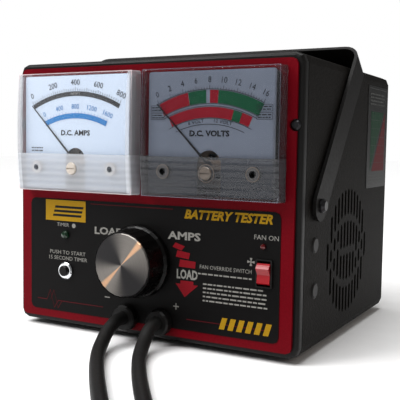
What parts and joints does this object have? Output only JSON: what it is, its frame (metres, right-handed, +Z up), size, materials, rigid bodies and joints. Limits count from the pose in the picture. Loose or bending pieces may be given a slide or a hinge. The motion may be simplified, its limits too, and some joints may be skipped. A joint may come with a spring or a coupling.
{
  "type": "battery load tester",
  "caption": "Portable load tester in a steel case with two panel meters, a load knob, timer button, rocker switch, carry handle and heavy leads with clamps",
  "frame": {"origin": "centre of the underside of the box around the case, with the feet on Z = 0; leads and clamps not counted", "axes": "+X to the right of the front panel, +Y from the front to the back, +Z up"},
  "size_m": [0.4743, 0.6153, 0.2744],
  "materials": {
    "case_paint": "black crackle paint",
    "bezel_paint": "black paint",
    "panel_red": "dark red enamel",
    "overlay_black": "printed black film",
    "label_paper": "printed label",
    "strap_black": "satin black",
    "dark_steel": "blackened steel",
    "plain_steel": "plain steel",
    "clear_cover": "clear moulded plastic",
    "dial_print": "printed dial",
    "black_plastic": "black plastic",
    "gloss_black": "black glossy plastic",
    "spun_aluminium": "spun",
    "carbon": "carbon",
    "copper": "copper",
    "shunt_metal": "brass and resistance alloy",
    "chrome": "polished",
    "green_lens": "green lens",
    "red_lens": "red lens",
    "rocker_red": "red plastic",
    "board_green": "circuit board",
    "foot_rubber": "rubber",
    "lead_rubber": "rubber lead",
    "clamp_black": "black dipped steel",
    "clamp_red": "red dipped steel"
  },
  "bodies": {
    "case": {"amps_cover": "clear_cover", "amps_dial": "dial_print", "amps_housing": "black_plastic", "amps_movement": "plain_steel", "board_bracket": "plain_steel", "cable_gland_left": "black_plastic", "cable_gland_right": "black_plastic", "carbon_pile": "carbon", "case_shell": "case_paint", "circuit_board": "board_green", "clamp_left_fixed_jaw": "clamp_black", "clamp_left_spring": "plain_steel", "clamp_right_fixed_jaw": "clamp_red", "clamp_right_spring": "plain_steel", "fan_frame": "black_plastic", "fan_lamp": "red_lens", "foot_front_left": "foot_rubber", "foot_front_right": "foot_rubber", "foot_rear_left": "foot_rubber", "foot_rear_right": "foot_rubber", "front_bezel": "bezel_paint", "front_bus_bar": "copper", "front_panel": "panel_red", "info_label": "label_paper", "lead_left": "lead_rubber", "lead_left_coil": "lead_rubber", "lead_right": "lead_rubber", "lead_right_coil": "lead_rubber", "lower_side_plug": "black_plastic", "panel_overlay": "overlay_black", "panel_screw_left": "dark_steel", "panel_screw_right": "dark_steel", "pile_frame": "plain_steel", "pivot_bolt_left": "dark_steel", "pivot_bolt_right": "dark_steel", "rear_bus_bar": "copper", "rocker_bezel": "black_plastic", "shunt": "shunt_metal", "timer_lamp": "green_lens", "timer_switch": "chrome", "upper_side_plug": "black_plastic", "volts_cover": "clear_cover", "volts_dial": "dial_print", "volts_housing": "black_plastic", "volts_movement": "plain_steel"},
    "handle": {"handle": "strap_black"},
    "knob": {"load_knob": "gloss_black", "knob_disc": "spun_aluminium", "knob_set_screw": "dark_steel", "load_screw": "plain_steel"},
    "pressure_plate": {"pressure_plate": "plain_steel"},
    "amps_needle": {"amps_needle": "black_plastic"},
    "volts_needle": {"volts_needle": "black_plastic"},
    "amps_zero_screw": {"amps_zero_screw": "black_plastic"},
    "volts_zero_screw": {"volts_zero_screw": "black_plastic"},
    "timer_plunger": {"timer_plunger": "gloss_black"},
    "rocker": {"rocker": "rocker_red"},
    "fan_impeller": {"fan_impeller": "black_plastic"},
    "left_moving_jaw": {"clamp_left_moving_jaw": "clamp_black"},
    "right_moving_jaw": {"clamp_right_moving_jaw": "clamp_red"}
  },
  "joints": [
    {"name": "handle_hinge", "type": "hinge", "parent": "case", "child": "handle", "pos_m": [0, -0.0785, 0.13], "axis": [1, 0, 0], "range_deg": [0, 130]},
    {"name": "knob_turn", "type": "hinge", "parent": "case", "child": "knob", "pos_m": [-0.005, -0.117, 0.074], "axis": [0, 1, 0], "range_deg": [0, 810]},
    {"name": "pressure_slide", "type": "slide", "parent": "case", "child": "pressure_plate", "axis": [0, 1, 0], "range_m": [0, 0.00337]},
    {"name": "amps_needle_turn", "type": "hinge", "parent": "case", "child": "amps_needle", "pos_m": [-0.07, -0.113, 0.163], "axis": [0, 1, 0], "range_deg": [0, 90], "stiffness_Nm_per_rad": 0.002},
    {"name": "volts_needle_turn", "type": "hinge", "parent": "case", "child": "volts_needle", "pos_m": [0.07, -0.113, 0.163], "axis": [0, 1, 0], "range_deg": [0, 90], "stiffness_Nm_per_rad": 0.002},
    {"name": "amps_zero_turn", "type": "hinge", "parent": "case", "child": "amps_zero_screw", "pos_m": [-0.07, -0.1325, 0.156], "axis": [0, 1, 0], "range_deg": [-45, 45]},
    {"name": "volts_zero_turn", "type": "hinge", "parent": "case", "child": "volts_zero_screw", "pos_m": [0.07, -0.1325, 0.156], "axis": [0, 1, 0], "range_deg": [-45, 45]},
    {"name": "timer_button", "type": "slide", "parent": "case", "child": "timer_plunger", "axis": [0, 1, 0], "range_m": [0, 0.003], "stiffness_N_per_m": 400, "springref_m": -0.002},
    {"name": "rocker_tip", "type": "hinge", "parent": "case", "child": "rocker", "pos_m": [0.1183, -0.113, 0.0747], "axis": [1, 0, 0], "range_deg": [-24, 0]},
    {"name": "fan_spin", "type": "hinge", "parent": "case", "child": "fan_impeller", "pos_m": [0.1459, 0.009, 0.082], "axis": [1, 0, 0], "continuous": true},
    {"name": "left_clamp_open", "type": "hinge", "parent": "case", "child": "left_moving_jaw", "pos_m": [-0.11494, -0.33073, 0.011], "axis": [0, 0, 1], "range_deg": [0, 24], "stiffness_Nm_per_rad": 0.5, "springref_deg": -34.38, "deforming": ["clamp_left_spring"]},
    {"name": "right_clamp_open", "type": "hinge", "parent": "case", "child": "right_moving_jaw", "pos_m": [0.26337, -0.11215, 0.011], "axis": [0, 0, -1], "range_deg": [0, 24], "stiffness_Nm_per_rad": 0.5, "springref_deg": -34.38, "deforming": ["clamp_right_spring"]}
  ],
  "couplings": [
    {"joint": "pressure_slide", "follows": "knob_turn", "m_per_rad": 0.00023873}
  ]
}
